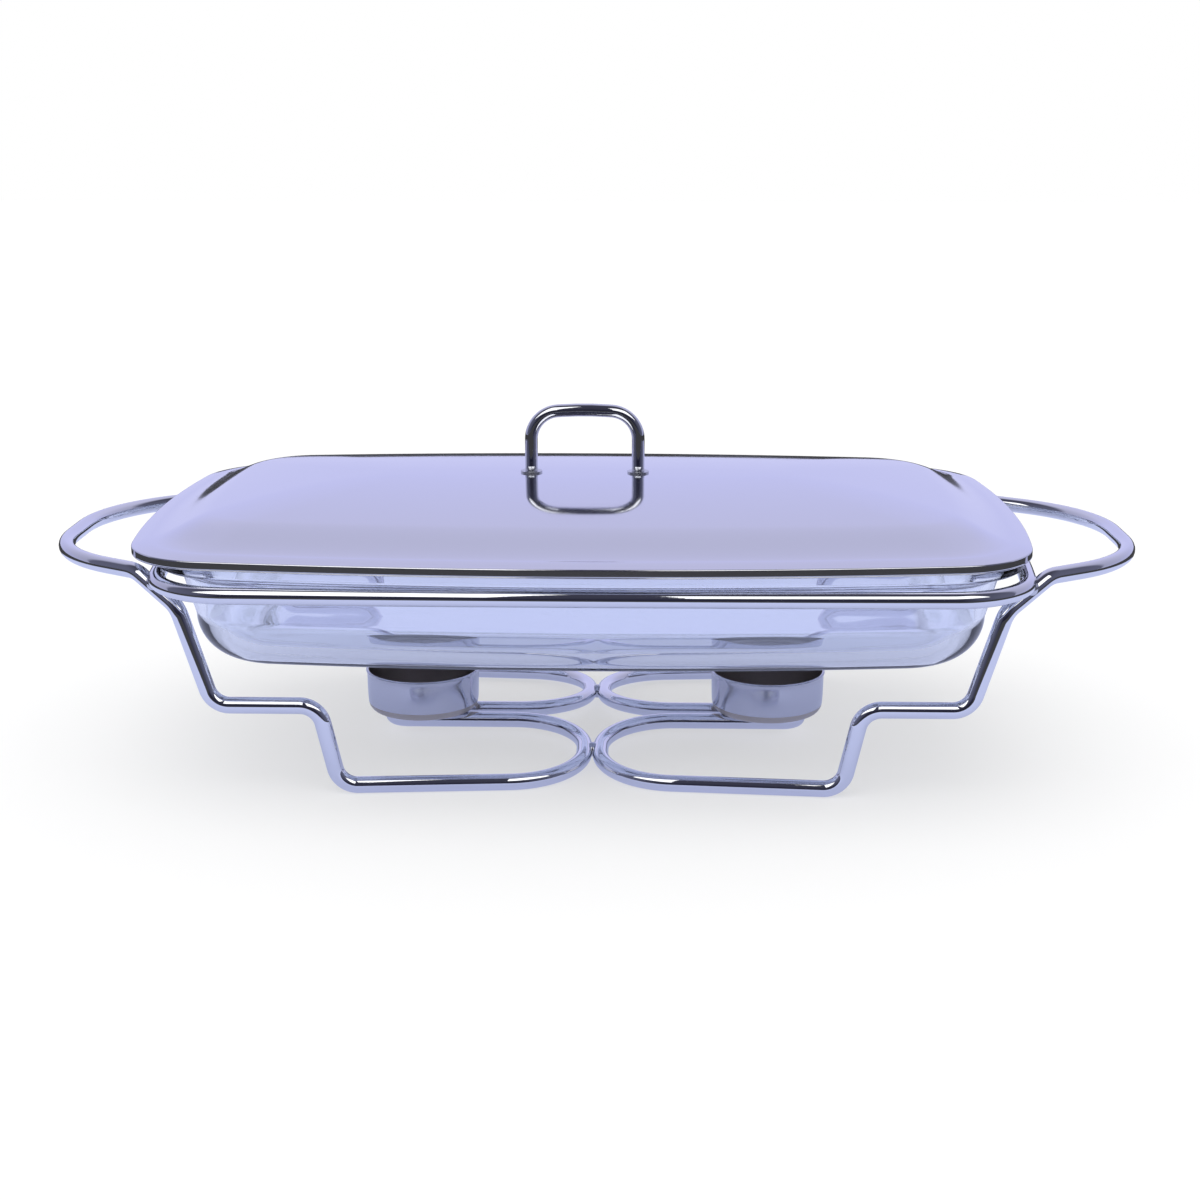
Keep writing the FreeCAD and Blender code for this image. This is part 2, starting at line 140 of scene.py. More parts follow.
# Worked out from them
WIRE_R = WIRE_D / 2
HANDLE_Z = RING_Z + HANDLE_ABOVE_RING
RIM_UNDERSIDE = RING_Z + WIRE_R + LIFT_GAP
RIM_TOP = RIM_UNDERSIDE + RIM_THICKNESS
DISH_BOTTOM = RIM_TOP - DISH_HEIGHT
RIM = dict(half_length=RING["half_length"] + RIM_REACH, half_width=RING["half_width"] + RIM_REACH,
           corner=RIM_CORNER, side_bow=RIM_SIDE_BOW, end_bow=RIM_END_BOW)
LID = dict(half_length=RIM["half_length"] + LID_END_OVERHANG, half_width=RIM["half_width"] + LID_OVERHANG,
           corner=LID_CORNER, side_bow=RIM_SIDE_BOW, end_bow=RIM_END_BOW)
CROWN_FOOT = FLANGE_WIDTH + SHOULDER_WIDTH
FLANGE_TOP = RIM_TOP + LIFT_GAP + LID_SHEET
LIP_BOTTOM = FLANGE_TOP - LIP_DEPTH
CUP_BOTTOM = INNER_RUN_Z + WIRE_R + TOUCH_GAP

# Camera of the photograph
CAMERA_AT = (0.0200, -0.7785, 0.2671)
CAMERA_PITCH = 75.0
CAMERA_YAW = 1.4
CAMERA_LENS = 57.0
CAMERA_SHIFT = (0.0023, -0.0006)

# Studio: what the floor is to the camera, to metal and to glass, and the lights
FLOOR_WHITE = (0.42, 0.42, 0.42)
FLOOR_IN_METAL = (0.25, 0.27, 0.385)
FLOOR_IN_GLASS = (0.28, 0.30, 0.39)
DARK_IN_METAL = (0.022, 0.022, 0.024)
FLOOR_GLOW = 1.25
FLOOR_REACH = 4.0
TABLE_EDGE = (0.36, 0.39)
TABLE_SHAPE = 0.82
SKY_FOR_FLOOR = 1.0
SUN_POWER = 0.8
SIDE_IN_METAL = (0.20, 0.21, 0.32)
SIDE_SHARE = 0.5
SIDE_START = 0.35
SKY_IN_GLASS = (0.56, 0.59, 0.84)
SKY_SHARE_IN_GLASS = 0.6
CARD_POWER = 1.6

# What the metal sees round the studio, by the angle from the back horizon up over the zenith
STUDIO = [
    (-180.0, (0.02, 0.02, 0.035)),
    (-165.0, (0.54, 0.60, 0.84)),
    (-8.0, (0.66, 0.67, 0.97)),
    (14.0, (0.61, 0.62, 0.95)),
    (34.0, (0.60, 0.60, 0.84)),
    (64.0, (0.56, 0.56, 0.76)),
    (80.0, (0.06, 0.06, 0.09)),
    (150.0, (0.045, 0.045, 0.07)),
    (180.0, (0.012, 0.012, 0.028)),
]
CARD_DISTANCE = 1.2
CARD_CENTRE_Z = 0.09
CARDS = {
    "card_left": ((-7.5, -60.0), (27.0, 70.0)),
    "card_right": ((4.0, 60.0), (27.0, 56.0)),
}
SUN_DIRECTION = (0.15, 0.2, -1.0)
SUN_SPREAD = 60.0


def polar(radius, angle):
    return np.array([radius * np.cos(angle), radius * np.sin(angle)])


def outline_arcs(half_length, half_width, corner, side_bow, end_bow):
    """Centre, radius, first and last angle of the end, corner and side arcs in the first quadrant."""
    side = np.array([0.0, half_width - side_bow])
    end = np.array([half_length - end_bow, 0.0])
    between = end - side
    gap = np.hypot(*between)
    near, far = side_bow - corner, end_bow - corner
    along = (near ** 2 - far ** 2 + gap ** 2) / (2 * gap)
    across = math.sqrt(max(near ** 2 - along ** 2, 0.0))
    foot = side + between * (along / gap)
    square = np.array([-between[1], between[0]]) * (across / gap)
    centre = max((foot + square, foot - square), key=lambda p: p[0] + p[1])
    end_angle = math.atan2(*(centre - end)[::-1])
    side_angle = math.atan2(*(centre - side)[::-1])
    return [(end, end_bow, 0.0, end_angle), (centre, corner, end_angle, side_angle),
            (side, side_bow, side_angle, math.pi / 2)]


def outline_points(half_length, half_width, corner, side_bow, end_bow, counts=(14, 26, 26)):
    """Points around a bowed oblong, in order from +X towards +Y."""
    quarter = []
    for (centre, radius, first, last), count in zip(
            outline_arcs(half_length, half_width, corner, side_bow, end_bow), counts):
        for a in np.linspace(first, last, count, endpoint=False):
            quarter.append(centre + polar(radius, a))
    quarter.append(np.array([0.0, half_width]))
    quarter = np.array(quarter)
    left = (quarter * (-1, 1))[::-1][1:]
    upper = np.vstack([quarter, left])
    lower = (upper * (1, -1))[::-1][1:-1]
    return np.vstack([upper, lower])


def inset_ring(shape, inset, height, corner, shift):
    """One ring of a loft: the shape's outline, drawn in, set at a height and shifted along X."""
    points = outline_points(shape["half_length"] - inset, shape["half_width"] - inset, corner,
                            shape["side_bow"] - inset, shape["end_bow"] - inset)
    return np.column_stack([points[:, 0] + shift, points[:, 1], np.full(len(points), height)])


def arc_steps(inset, height, radius, first, last, steps):
    """Points of a profile along an arc, between two angles in degrees."""
    angles = np.radians(np.linspace(first, last, steps + 1))
    return np.column_stack([inset + radius * np.cos(angles), height + radius * np.sin(angles)])


def smooth_profile(points, step=0.6):
    """A Catmull-Rom curve through profile points, sampled about every step millimetres."""
    p = np.array(points, float)
    p = np.vstack([2 * p[0] - p[1], p, 2 * p[-1] - p[-2]])
    out = [p[1]]
    for i in range(1, len(p) - 2):
        a, b, c, d = p[i - 1], p[i], p[i + 1], p[i + 2]
        ta = 0.0
        tb = ta + math.sqrt(np.hypot(*(b - a)))
        tc = tb + math.sqrt(np.hypot(*(c - b)))
        td = tc + math.sqrt(np.hypot(*(d - c)))
        count = max(2, int(round(np.hypot(*(c - b)) / step)))
        for t in np.linspace(tb, tc, count + 1)[1:]:
            ab = (tb - t) / (tb - ta) * a + (t - ta) / (tb - ta) * b
            bc = (tc - t) / (tc - tb) * b + (t - tb) / (tc - tb) * c
            cd = (td - t) / (td - tc) * c + (t - tc) / (td - tc) * d
            abc = (tc - t) / (tc - ta) * ab + (t - ta) / (tc - ta) * bc
            bcd = (td - t) / (td - tb) * bc + (t - tb) / (td - tb) * cd
            out.append((tc - t) / (tc - tb) * abc + (t - tb) / (tc - tb) * bcd)
    return np.array(out)


def new_piece(name, vertices, faces, material, body, slot, replaces=()):
    """A smooth mesh piece in the row frame that rides on a body and stands for CAD nodes."""
    mesh = bpy.data.meshes.new(name)
    mesh.from_pydata([tuple(v) for v in np.asarray(vertices) * MM], [], faces)
    mesh.validate()
    mesh.update()
    mesh.polygons.foreach_set("use_smooth", [True] * len(mesh.polygons))
    piece = bpy.data.objects.new(name, mesh)
    bpy.context.collection.objects.link(piece)
    mesh.materials.append(material)
    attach(piece, body)
    if replaces:
        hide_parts(*replaces)
    return piece


def cap_faces(start, count, turned):
    """Faces that close a ring of points, as strips between its two mirrored sides."""
    half = count // 2
    faces = []
    for j in range(half):
        corners = [j, j + 1, count - j - 1, (count - j) % count]
        faces.append(tuple(start + k for k in dict.fromkeys(corners)))
    return [tuple(reversed(f)) for f in faces] if turned else faces


def bridge(rings, closed=False, capped=False):
    """Vertices and quads between successive rings of points, which may be capped at both ends."""
    count = len(rings[0])
    vertices = np.vstack(rings)
    faces = []
    pairs = len(rings) if closed else len(rings) - 1
    for i in range(pairs):
        a = i * count
        b = ((i + 1) % len(rings)) * count
        for j in range(count):
            k = (j + 1) % count
            faces.append((a + j, a + k, b + k, b + j))
    if capped:
        faces += cap_faces(0, count, True) + cap_faces(len(vertices) - count, count, False)
    return vertices, faces


def rod_path(corners, bends, closed=False, arc_step=4.0, run_step=9.0):
    """Points along straight runs with round bends at the corners."""
    count = len(corners)
    corners = [np.array(c, float) for c in corners]
    path = []
    for i, corner in enumerate(corners):
        if not closed and i in (0, count - 1):
            path.append([corner])
            continue
        back = corners[i - 1] - corner
        ahead = corners[(i + 1) % count] - corner
        back /= np.linalg.norm(back)
        ahead /= np.linalg.norm(ahead)
        half = math.acos(np.clip(back @ ahead, -1, 1)) / 2
        middle = (back + ahead) / np.linalg.norm(back + ahead)
        centre = corner + middle * bends[i] / math.sin(half)
        first = corner + back * bends[i] / math.tan(half) - centre
        side = -back * bends[i]
        turn = math.pi - 2 * half
        steps = max(3, int(math.degrees(turn) / arc_step))
        angles = np.linspace(0, turn, steps + 1)
        path.append([centre + first * math.cos(a) + side * math.sin(a) for a in angles])
    points = []
    for i, arc in enumerate(path):
        points += arc
        if closed or i < count - 1:
            start = arc[-1]
            stop = path[(i + 1) % count][0]
            runs = int(np.linalg.norm(stop - start) / run_step)
            points += [start + (stop - start) * k / (runs + 1) for k in range(1, runs + 1)]
    kept = [points[0]]
    for p in points[1:]:
        if np.linalg.norm(p - kept[-1]) > 0.02:
            kept.append(p)
    if closed and np.linalg.norm(kept[0] - kept[-1]) < 0.02:
        kept.pop()
    return np.array(kept)


def tube(points, radius, closed, around=40):
    """Vertices and faces of a round tube along points, without twist."""
    points = np.asarray(points, float)
    count = len(points)
    if closed:
        tangents = np.roll(points, -1, 0) - np.roll(points, 1, 0)
    else:
        tangents = np.gradient(points, axis=0)
    tangents /= np.linalg.norm(tangents, axis=1)[:, None]
    normal = np.cross(tangents[0], (0.0, 0.0, 1.0))
    if np.linalg.norm(normal) < 1e-6:
        normal = np.array([0.0, 1.0, 0.0])
    normals = []
    for t in tangents:
        normal = normal - (normal @ t) * t
        normal = normal / np.linalg.norm(normal)
        normals.append(normal)
    twist = 0.0
    if closed:
        last = normals[-1] - (normals[-1] @ tangents[0]) * tangents[0]
        last /= np.linalg.norm(last)
        twist = math.atan2(np.cross(last, normals[0]) @ tangents[0], last @ normals[0])
    angles = np.linspace(0, 2 * math.pi, around, endpoint=False)
    rings = []
    for i in range(count):
        shift = twist * i / count
        side = np.cross(tangents[i], normals[i])
        rings.append(points[i] + radius * (np.cos(angles + shift)[:, None] * normals[i]
                                           + np.sin(angles + shift)[:, None] * side))
    return bridge(rings, closed=closed, capped=not closed)


def ring_path():
    points = outline_points(counts=(20, 30, 40), **RING)
    return np.column_stack([points, np.full(len(points), RING_Z)])


def end_wire_path(side):
    """The closed path of an end wire; side is 1 for the right one and -1 for the left one."""
    (_, _, _, _), (centre, radius, _, _), _ = outline_arcs(**RING)
    weld = centre + polar(radius, math.radians(ARM_WELD_ANGLE))
    crossing = np.array([weld[0], -weld[1], 0.0])
    inward = np.array([-math.cos(math.radians(ARM_ANGLE)), -math.sin(math.radians(ARM_ANGLE)), 0.0])
    level = np.array([0.0, 0.0, HANDLE_Z])
    arm = crossing - inward * ARM_DROP_START + level
    bow = arm - inward * ((RING["half_length"] + HANDLE_REACH - arm[0]) / -inward[0])
    span = math.hypot(ARM_DROP_START, HANDLE_ABOVE_RING)
    dip = math.asin(WELD_DISTANCE / span) + math.atan2(HANDLE_ABOVE_RING, ARM_DROP_START)
    leg_top = crossing + inward * LEG_TOP_RUN + level
    leg_top[2] -= (ARM_DROP_START + LEG_TOP_RUN) * math.tan(dip)
    knee = RING["half_length"] - KNEE_INSET
    shelf_y = RING["half_width"] - SHELF_INSET
    foot_y = shelf_y - FOOT_SPLAY
    floor_y = foot_y - FLOOR_RUN_SPLAY
    loop_x = WIRE_R + TOUCH_GAP
    loop_bend = (floor_y - INNER_RUN_Y) * LOOP_ROUNDNESS / 2
    front = [(bow, HANDLE_BEND), (arm, ARM_BEND), (leg_top, LEG_BEND),
             ((knee, -shelf_y, SHELF_Z), KNEE_BEND),
             ((knee - SHELF_LENGTH, -shelf_y, SHELF_Z), KNEE_BEND),
             ((knee - SHELF_LENGTH - FOOT_INSET, -foot_y, WIRE_R), KNEE_BEND),
             ((loop_x, -floor_y, WIRE_R), loop_bend),
             ((loop_x, -INNER_RUN_Y, INNER_RUN_Z), loop_bend),
             ((CUP_X + INNER_RUN_PAST_CUP, -INNER_RUN_Y, INNER_RUN_Z), INNER_RUN_Y * BEND_ROOM)]
    both = front + [((p[0], -p[1], p[2]), bend) for p, bend in reversed(front)]
    path = rod_path([p for p, bend in both], [bend for p, bend in both], closed=True, run_step=4.0)
    return path * (side, 1, 1)


def dish_corner(inset):
    """Corner radius of the glass, from the rim to the tighter bend round its floor."""
    if inset < DISH_INSET:
        return RIM_CORNER + (DISH_WALL_CORNER - RIM_CORNER) * inset / DISH_INSET
    return max(DISH_WALL_CORNER - (inset - DISH_INSET), DISH_TIGHTEST_CORNER)


def dish_rings():
    """Rings of the glass from the middle of its underside, over the rim, to the inner floor."""
    floor = DISH_BOTTOM + GLASS_BASE
    low = DISH_INSET + DISH_TAPER
    wall = DISH_INSET + GLASS_WALL
    root_z = RIM_UNDERSIDE - RIM_ROOT_DROP - RIM_ROOT
    level = np.linspace(0, 1, 6)[:, None]
    bottom = np.array([(DISH_LAND_INSET, DISH_BOTTOM), (low + DISH_BEND + DISH_FLOOR_EASE, DISH_BOTTOM)])
    inner_wall = arc_steps(wall - RIM_LIP, RIM_TOP - RIM_LIP, RIM_LIP, 90, 0, 14)
    inner_bend = arc_steps(wall + DISH_TAPER + DISH_INNER_BEND, floor + DISH_INNER_BEND, DISH_INNER_BEND,
                           -180, -90, 24)
    outer_bend = arc_steps(low + DISH_BEND, DISH_BOTTOM + DISH_BEND, DISH_BEND, -90, -180, 24)
    root = arc_steps(DISH_INSET - RIM_ROOT, root_z, RIM_ROOT, 0, 90, 12)
    profile = np.vstack([
        bottom[:1] + (bottom[1:] - bottom[:1]) * level,
        outer_bend,
        outer_bend[-1:] + (root[:1] - outer_bend[-1:]) * level[1:-1],
        root,
        arc_steps(RIM_EDGE, RIM_UNDERSIDE + RIM_EDGE, RIM_EDGE, -90, -180, 8),
        arc_steps(RIM_EDGE, RIM_TOP - RIM_EDGE, RIM_EDGE, 180, 90, 8),
        inner_wall,
        inner_wall[-1:] + (inner_bend[:1] - inner_wall[-1:]) * level[1:-1],
        inner_bend,
        [(wall + DISH_TAPER + DISH_INNER_BEND + DISH_FLOOR_EASE, floor)],
        [(DISH_LAND_INSET, floor)]])
    return [inset_ring(RIM, d, z, dish_corner(d), DISH_SLID) for d, z in profile]


def crown_rise(inset):
    """How far the crown has risen over its foot, on an arc across the width of the lid."""
    foot = LID["half_width"] - CROWN_FOOT
    return (foot ** 2 - (LID["half_width"] - inset) ** 2) / (2 * CROWN_RADIUS)


def shoulder_height(share):
    """Height along the shoulder, which leaves the flange level and meets the slope of the crown."""
    crown_slope = (LID["half_width"] - CROWN_FOOT) / CROWN_RADIUS
    ease = share ** 2 * (3 - 2 * share)
    return SHOULDER_RISE * ease + crown_slope * SHOULDER_WIDTH * (share ** 3 - share ** 2)


def lid_corner(inset):
    """Corners of the pressing get tighter over the shoulder and rounder towards the middle."""
    if inset < CROWN_FOOT:
        return LID_CORNER + (CROWN_CORNER - LID_CORNER) * inset / CROWN_FOOT
    half = LID["half_width"]
    start = CROWN_CORNER / (half - CROWN_FOOT)
    share = (inset - CROWN_FOOT) / (half - CROWN_FOOT)
    return (half - inset) * (start + (CROWN_END_ROUNDNESS - start) * share)


def lid_outer_profile():
    """The outside of the sheet as inset and height: lip, drooping flange, shoulder and crown."""
    edge_top = FLANGE_TOP - FLANGE_DROOP
    points = [(inset, LIP_BOTTOM + z) for inset, z in zip((LIP_TUCK, 0.0, 0.0), LIP_FOOT)]
    points += list(map(tuple, arc_steps(LIP_EDGE, edge_top - LIP_EDGE, LIP_EDGE, 180, 101, 8)))
    points += [(inset, edge_top + z) for inset, z in FLANGE_EASE]
    shoulder_foot = FLANGE_TOP + FLANGE_RISE
    steps = 20
    for i in range(steps):
        share = i / steps
        points.append((FLANGE_WIDTH + SHOULDER_WIDTH * share, shoulder_foot + shoulder_height(share)))
    start = shoulder_foot + SHOULDER_RISE
    for inset in np.linspace(CROWN_FOOT, LID["half_width"] - CROWN_LAND, 40):
        points.append((inset, start + crown_rise(inset)))
    return np.array(points)


def moved_profile(profile, distance):
    """The profile moved square to itself by the thickness of the sheet."""
    run = np.gradient(profile[:, 0])
    rise = np.gradient(profile[:, 1])
    length = np.hypot(run, rise)
    return profile + np.column_stack([distance * rise / length, -distance * run / length])


def lid_rings():
    """Rings of the sheet from the middle of its outside, round the hem, to the middle inside."""
    outer = lid_outer_profile()
    inner = moved_profile(outer, LID_SHEET)
    hem = arc_steps(LID_HEM / 2, LIP_BOTTOM + LID_HEM / 2, LID_HEM / 2, 200, 350, 10)
    inner = inner[(inner[:, 1] > LIP_BOTTOM + HEM_HEIGHT) & (inner[:, 0] > LID_SHEET - 0.05)]
    inner[:, 0] = np.minimum(inner[:, 0], LID["half_width"] - CROWN_LAND)
    profile = np.vstack([outer[::-1], hem, inner])
    return [inset_ring(LID, inset, z, lid_corner(inset), DISH_SLID + LID_SLID) for inset, z in profile]


def cup_piece(name, x, material, inside, node):
    """A pressed cup, turned about its own axis, with a rolled rim and a ridge in its floor."""
    foot = CUP_RADIUS - CUP_DRAFT
    within_ridge = CUP_RIDGE_RADIUS - CUP_RIDGE_SLOPE
    past_ridge = CUP_RIDGE_RADIUS + CUP_RIDGE_SLOPE
    outer = [(0.01, 0), (within_ridge, 0), (CUP_RIDGE_RADIUS, CUP_RIDGE_HEIGHT - 0.1),
             (past_ridge, 0), (foot - CUP_BEND, 0)]
    for a in np.radians((20, 40, 60, 80)):
        outer.append((foot - CUP_BEND + CUP_BEND * math.sin(a), CUP_BEND - CUP_BEND * math.cos(a)))
    outer.append((CUP_RADIUS - 0.1, CUP_DEPTH - CUP_BEAD_NECK))
    middle = CUP_RADIUS - CUP_WALL / 2
    for a in np.radians((-60, -20, 20, 60, 100, 140, 180, 220)):
        outer.append((middle + CUP_BEAD * math.cos(a), CUP_DEPTH + CUP_BEAD * math.sin(a)))
    inner = [(CUP_RADIUS - CUP_WALL - 0.1, CUP_DEPTH - CUP_BEAD_NECK)]
    bend = CUP_BEND - CUP_WALL
    for a in np.radians((80, 60, 40, 20)):
        inner.append((foot - CUP_BEND + bend * math.sin(a), CUP_BEND - bend * math.cos(a)))
    inner += [(foot - CUP_BEND, CUP_WALL), (past_ridge, CUP_WALL),
              (CUP_RIDGE_RADIUS, CUP_WALL + CUP_RIDGE_HEIGHT), (within_ridge, CUP_WALL),
              (0.01, CUP_WALL)]
    profile = smooth_profile(outer + inner, 0.5)
    angles = np.linspace(0, 2 * math.pi, 128, endpoint=False)
    across = np.cos(angles)
    along = np.sin(angles)
    rings = [np.column_stack([x + r * across, r * along, np.full(len(angles), CUP_BOTTOM + z)])
             for r, z in profile]
    cup = new_piece(name, *bridge(rings, capped=True), material, "stand", "pressed_cup", [node])
    # the faces of the hollow get a second, darker and browner metal: painted shade inside the cup
    cup.data.materials.append(inside)    # for the faces of the hollow
    wall = CUP_RADIUS - CUP_WALL + 0.1
    for face in cup.data.polygons:
        points = [cup.data.vertices[i].co / MM for i in face.vertices]
        within = all(math.hypot(p.x - x, p.y) < wall for p in points)
        if within and all(p.z > CUP_BOTTOM + CUP_WALL - 0.05 for p in points):
            face.material_index = 1


def lid_top():
    return FLANGE_TOP + FLANGE_RISE + SHOULDER_RISE + crown_rise(LID["half_width"] - CROWN_LAND)


def handle_path():
    foot = lid_top() + WASHER_THICKNESS
    middle = DISH_SLID + LID_SLID
    left = middle - ROD_SPACING / 2
    right = middle + ROD_SPACING / 2
    top = foot + ROD_RISE
    corners = [(left, 0, foot), (left, 0, top), (middle, 0, top + GRIP_BOW),
               (right, 0, top), (right, 0, foot)]
    return rod_path(corners, [0, ROD_BEND, GRIP_BOW_RADIUS, ROD_BEND, 0], run_step=3.0)


def node_material(name):
    """A material with its node tree and its Principled shader."""
    material = bpy.data.materials.new(name)
    material.use_nodes = True
    tree = material.node_tree
    return material, tree, tree.nodes["Principled BSDF"]


def noise(tree, scale, detail):
    """A noise texture in the piece's own metres."""
    place = tree.nodes.new("ShaderNodeTexCoord")
    texture = tree.nodes.new("ShaderNodeTexNoise")
    texture.inputs["Scale"].default_value = scale
    texture.inputs["Detail"].default_value = detail
    tree.links.new(place.outputs["Object"], texture.inputs["Vector"])
    return texture


def ramp(tree, source, low, high, first=0.3, last=0.7):
    """Maps a texture's value to numbers between low and high."""
    node = tree.nodes.new("ShaderNodeMapRange")
    node.inputs["From Min"].default_value = first
    node.inputs["From Max"].default_value = last
    node.inputs["To Min"].default_value = low
    node.inputs["To Max"].default_value = high
    tree.links.new(source, node.inputs["Value"])
    return node.outputs["Result"]


def bump(tree, shader, height, distance, strength):
    node = tree.nodes.new("ShaderNodeBump")
    node.inputs["Strength"].default_value = strength
    node.inputs["Distance"].default_value = distance
    tree.links.new(height, node.inputs["Height"])
    tree.links.new(node.outputs["Normal"], shader.inputs["Normal"])


def metal(name, colour, roughness, cloud_scale, bump_scale, bump_distance, bump_strength=0.15):
    """Polished metal: its roughness varies in faint clouds, and its surface has a fine waviness."""
    material, tree, shader = node_material(name)
    shader.inputs["Base Color"].default_value = (*colour, 1)
    shader.inputs["Metallic"].default_value = 1.0
    cloud = noise(tree, cloud_scale, 5.0)
    tree.links.new(ramp(tree, cloud.outputs["Fac"], *roughness), shader.inputs["Roughness"])
    fine = noise(tree, bump_scale, 2.0)
    bump(tree, shader, fine.outputs["Fac"], bump_distance, bump_strength)
    return material


def glass():
    material, tree, shader = node_material("clear_glass")
    shader.inputs["Base Color"].default_value = (0.93, 0.95, 1.0, 1)
    shader.inputs["Transmission Weight"].default_value = 1.0
    shader.inputs["IOR"].default_value = 1.47
    smear = noise(tree, 9.0, 4.0)
    tree.links.new(ramp(tree, smear.outputs["Fac"], 0.0, 0.03), shader.inputs["Roughness"])
    ripple = noise(tree, 28.0, 1.0)
    bump(tree, shader, ripple.outputs["Fac"], 0.0006, 0.25)
    return material


chrome = metal("chromed_wire", colour=(0.82, 0.83, 0.87), roughness=(0.01, 0.05),
               cloud_scale=60.0, bump_scale=900.0, bump_distance=0.00002)
weld_metal = metal("weld_metal", colour=(0.66, 0.67, 0.71), roughness=(0.12, 0.3),
                   cloud_scale=300.0, bump_scale=700.0, bump_distance=0.0002, bump_strength=0.4)
lid_metal = metal("polished_lid", colour=(0.80, 0.81, 0.86), roughness=(0.05, 0.11),
                  cloud_scale=14.0, bump_scale=500.0, bump_distance=0.00001, bump_strength=0.1)
rod_metal = metal("handle_rod", colour=(0.74, 0.75, 0.79), roughness=(0.01, 0.05),
                  cloud_scale=80.0, bump_scale=900.0, bump_distance=0.00002)
cup_metal = metal("pressed_cup", colour=(0.62, 0.63, 0.68), roughness=(0.07, 0.2),
                  cloud_scale=70.0, bump_scale=400.0, bump_distance=0.00006)
# darker, browner metal for the inside of the cups: painted shade in their hollow
cup_inside = metal("cup_inside", colour=(0.50, 0.46, 0.42), roughness=(0.3, 0.5),
                   cloud_scale=120.0, bump_scale=500.0, bump_distance=0.00008)
washer_metal = metal("washer_steel", colour=(0.62, 0.63, 0.66), roughness=(0.2, 0.35),
                     cloud_scale=200.0, bump_scale=1500.0, bump_distance=0.00005)
clear_glass = glass()

new_piece("ring_wire", *tube(ring_path(), WIRE_R, True), chrome, "stand", "chromed_wire", ["top_ring"])
for side, name in ((1, "right"), (-1, "left")):
    vertices, faces = tube(end_wire_path(side), WIRE_R, True)
    new_piece(name + "_wire", vertices, faces, chrome, "stand", "chromed_wire", [name + "_end_wire"])
    cup_piece(name + "_cup", side * CUP_X, cup_metal, cup_inside, name + "_candle_cup")
new_piece("dish_glass", *bridge(dish_rings(), capped=True), clear_glass,
          "dish", "clear_glass", ["glass_dish"])
new_piece("lid_sheet", *bridge(lid_rings(), capped=True), lid_metal,
          "lid", "polished_lid", ["lid_shell"])
new_piece("lid_rod", *tube(handle_path(), ROD_D / 2, False), rod_metal, "lid", "handle_rod", ["lid_handle"])

for name, node in frame["nodes"].items():
    if node.hide_render:
        continue
    material = weld_metal if "weld" in name else washer_metal
    node.data.materials.clear()
    node.data.materials.append(material)


def stage_plane(name, corners, material):
    """A flat piece of the studio, which isn't part of the object."""
    mesh = bpy.data.meshes.new(name)
    mesh.from_pydata(corners, [], [tuple(range(len(corners)))])
    plane = bpy.data.objects.new(name, mesh)
    bpy.context.collection.objects.link(plane)
    mesh.materials.append(material)
    return plane


def mix_colour(tree, share, first, second):
    """A colour that goes from the first to the second with the share; all three may be links."""
    node = tree.nodes.new("ShaderNodeMix")
    node.data_type = "RGBA"
    if isinstance(share, float):
        node.inputs["Factor"].default_value = share
    else:
        tree.links.new(share, node.inputs["Factor"])
    for socket, value in ((node.inputs["A"], first), (node.inputs["B"], second)):
        if isinstance(value, tuple):
            socket.default_value = (*value, 1)
        else:
            tree.links.new(value, socket)
    return node.outputs["Result"]


def floor_material():
    """A white floor that keeps soft shadows; metal sees it lavender, and dark beyond an oval table."""
    material, tree, shader = node_material("floor")
    rays = tree.nodes.new("ShaderNodeLightPath")
    place = tree.nodes.new("ShaderNodeNewGeometry")
    oval = tree.nodes.new("ShaderNodeVectorMath")
    oval.operation = "MULTIPLY"
    oval.inputs[1].default_value = (TABLE_SHAPE, 1.0, 0.0)
    tree.links.new(place.outputs["Position"], oval.inputs[0])
    distance = tree.nodes.new("ShaderNodeVectorMath")
    distance.operation = "LENGTH"
    tree.links.new(oval.outputs["Vector"], distance.inputs[0])
    beyond = ramp(tree, distance.outputs["Value"], 0.0, 1.0, *TABLE_EDGE)
    seen_by_metal = mix_colour(tree, beyond, FLOOR_IN_METAL, DARK_IN_METAL)
    with_metal = mix_colour(tree, rays.outputs["Is Glossy Ray"], FLOOR_WHITE, seen_by_metal)
    with_glass = mix_colour(tree, rays.outputs["Is Transmission Ray"], with_metal, FLOOR_IN_GLASS)
    tree.links.new(with_glass, shader.inputs["Base Color"])
    tree.links.new(with_glass, shader.inputs["Emission Color"])
    shader.inputs["Emission Strength"].default_value = FLOOR_GLOW
    shader.inputs["Roughness"].default_value = 1.0
    shader.inputs["Specular IOR Level"].default_value = 0.0
    return material


stage_plane("floor", [(-FLOOR_REACH, -FLOOR_REACH, 0), (FLOOR_REACH, -FLOOR_REACH, 0),
                      (FLOOR_REACH, FLOOR_REACH, 0), (-FLOOR_REACH, FLOOR_REACH, 0)], floor_material())


